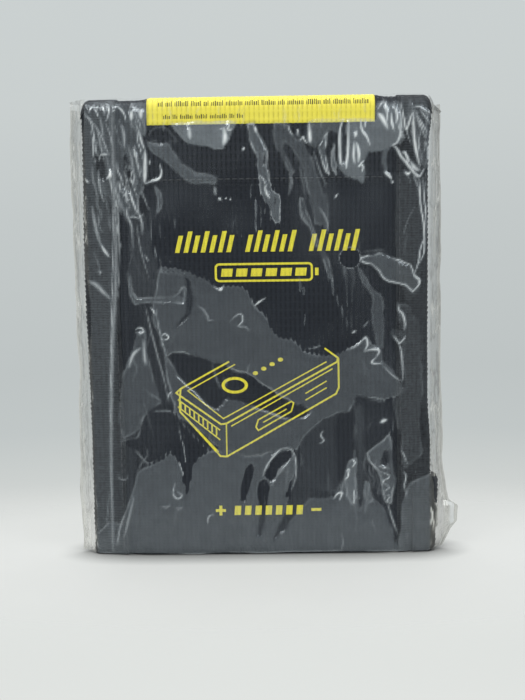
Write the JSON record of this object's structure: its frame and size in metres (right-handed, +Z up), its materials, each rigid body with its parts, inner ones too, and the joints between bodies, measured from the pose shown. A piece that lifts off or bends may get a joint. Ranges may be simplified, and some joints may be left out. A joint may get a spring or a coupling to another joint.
{
  "type": "lipo safe bag",
  "caption": "Flat fold-over pouch of ribbed fire-resistant fabric for a drone battery, with taped seams, a hook and loop flap at the back and a clear removable sleeve.",
  "frame": {"origin": "middle of the flat bottom fold, which the pouch stands on", "axes": "+Z up from the bottom fold to the top fold, -Y out of the printed front panel, +X to the right of someone who looks at the front"},
  "size_m": [0.1456, 0.0202, 0.183],
  "materials": {
    "ribbed_fabric": "matt ribbed weave",
    "binding_tape": "matt grosgrain",
    "insulation": "matt felt",
    "liner": "coated glass cloth",
    "hook_and_loop": "matt pile",
    "thread": "satin",
    "label": "printed, satin",
    "clear_film": "clear gloss"
  },
  "bodies": {
    "pouch": {"outer_shell": "ribbed_fabric", "insulation_layer": "insulation", "inner_liner": "liner", "side_binding_left": "binding_tape", "side_binding_right": "binding_tape", "binding_tail_right": "binding_tape", "mouth_binding": "binding_tape", "closure_facing": "binding_tape", "loop_strip": "hook_and_loop", "label_front": "label", "seam_thread_left": "thread", "seam_thread_right": "thread", "band_thread": "thread"},
    "cover": {"cover_outer": "ribbed_fabric", "cover_lining": "liner", "cover_binding_left": "binding_tape", "cover_binding_right": "binding_tape", "label_cover": "label"},
    "flap": {"flap_outer": "ribbed_fabric", "flap_lining": "liner", "flap_binding_left": "binding_tape", "flap_binding_right": "binding_tape", "flap_end_binding": "binding_tape", "hook_strip": "hook_and_loop", "hook_thread": "thread", "label_flap": "label"},
    "sleeve": {"clear_sleeve": "clear_film"}
  },
  "joints": [
    {"name": "cover_lift", "type": "hinge", "parent": "pouch", "child": "cover", "pos_m": [0, -0.0041, 0.1767], "axis": [1, 0, 0], "range_deg": [0, 90]},
    {"name": "flap_lift", "type": "hinge", "parent": "cover", "child": "flap", "pos_m": [0, 0.00795, 0.17615], "axis": [1, 0, 0], "range_deg": [0, 90], "deforming": ["clear_sleeve"]},
    {"name": "sleeve_pull", "type": "slide", "parent": "pouch", "child": "sleeve", "axis": [0, 0, 1], "range_m": [0, 0.19]}
  ],
  "couplings": [
    {"joint": "cover_lift", "follows": "flap_lift", "ratio": 1}
  ]
}
